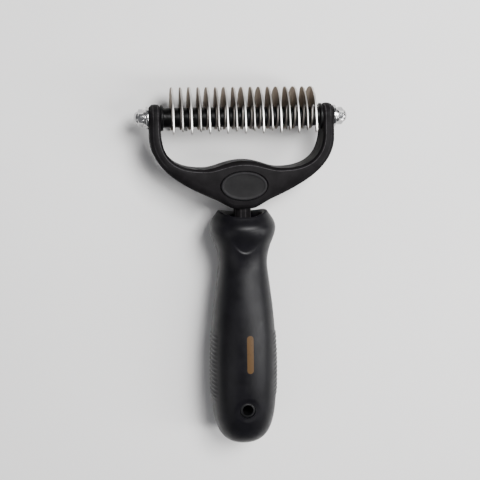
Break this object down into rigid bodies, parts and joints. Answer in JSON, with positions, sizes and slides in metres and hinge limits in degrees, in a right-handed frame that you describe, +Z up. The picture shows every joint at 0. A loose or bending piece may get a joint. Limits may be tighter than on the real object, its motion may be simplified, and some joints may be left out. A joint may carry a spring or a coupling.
{
  "type": "dematting comb",
  "caption": "Two-sided dematting comb: hooked steel blades stacked on a rod in a forked head on a soft-grip handle, fine teeth on one side and coarse teeth on the other.",
  "frame": {"origin": "below the middle of the comb, on the surface that it lies on with its coarse side down", "axes": "+X along the rod to the right, +Y along the handle towards the blades, +Z up out of the fine side"},
  "size_m": [0.0974, 0.1684, 0.031],
  "materials": {
    "fork_plastic": "satin black moulding",
    "badge_plastic": "fine matt texture",
    "spacer_plastic": "glossy black moulding",
    "core_plastic": "satin black moulding",
    "grip_rubber": "soft-touch black overmould",
    "blade_steel": "polished stainless with ground cutting edges",
    "plated_steel": "bright nickel plate",
    "plain_steel": "plain drawn steel"
  },
  "bodies": {
    "handle_and_fork": {"fork": "fork_plastic", "front_badge": "badge_plastic", "back_badge": "badge_plastic", "handle_core": "core_plastic", "grip": "grip_rubber", "tang_pin": "plain_steel"},
    "comb_head": {"rod": "plain_steel", "left_collar": "spacer_plastic", "right_collar": "spacer_plastic", "blade_01": "blade_steel", "blade_02": "blade_steel", "blade_03": "blade_steel", "blade_04": "blade_steel", "blade_05": "blade_steel", "blade_06": "blade_steel", "blade_07": "blade_steel", "blade_08": "blade_steel", "blade_09": "blade_steel", "blade_10": "blade_steel", "blade_11": "blade_steel", "blade_12": "blade_steel", "blade_13": "blade_steel", "blade_14": "blade_steel", "blade_15": "blade_steel", "blade_16": "blade_steel", "blade_17": "blade_steel", "spacer_01": "spacer_plastic", "spacer_02": "spacer_plastic", "spacer_03": "spacer_plastic", "spacer_04": "spacer_plastic", "spacer_05": "spacer_plastic", "spacer_06": "spacer_plastic", "spacer_07": "spacer_plastic", "spacer_08": "spacer_plastic", "spacer_09": "spacer_plastic", "spacer_10": "spacer_plastic", "spacer_11": "spacer_plastic", "spacer_12": "spacer_plastic", "spacer_13": "spacer_plastic", "spacer_14": "spacer_plastic", "spacer_15": "spacer_plastic", "spacer_16": "spacer_plastic"},
    "left_washers": {"left_flat_washer": "plated_steel", "left_lock_washer": "plated_steel"},
    "right_washers": {"right_flat_washer": "plated_steel", "right_lock_washer": "plated_steel"},
    "left_nut": {"left_cap_nut": "plated_steel"},
    "right_nut": {"right_cap_nut": "plated_steel"}
  },
  "joints": [
    {"name": "comb_head_turn", "type": "hinge", "parent": "handle_and_fork", "child": "comb_head", "pos_m": [0, 0.07035, 0.0155], "axis": [1, 0, 0], "continuous": true},
    {"name": "left_washer_slide", "type": "slide", "parent": "comb_head", "child": "left_washers", "axis": [-1, 0, 0], "range_m": [0, 0.0028]},
    {"name": "left_nut_turn", "type": "hinge", "parent": "left_washers", "child": "left_nut", "pos_m": [-0.0465, 0.07035, 0.0155], "axis": [-1, 0, 0], "range_deg": [0, 1440]},
    {"name": "right_washer_slide", "type": "slide", "parent": "comb_head", "child": "right_washers", "axis": [1, 0, 0], "range_m": [0, 0.0028]},
    {"name": "right_nut_turn", "type": "hinge", "parent": "right_washers", "child": "right_nut", "pos_m": [0.0465, 0.07035, 0.0155], "axis": [1, 0, 0], "range_deg": [0, 1440]}
  ],
  "couplings": [
    {"joint": "left_nut_turn", "follows": "left_washer_slide", "rad_per_m": 8976},
    {"joint": "right_nut_turn", "follows": "right_washer_slide", "rad_per_m": 8976}
  ]
}
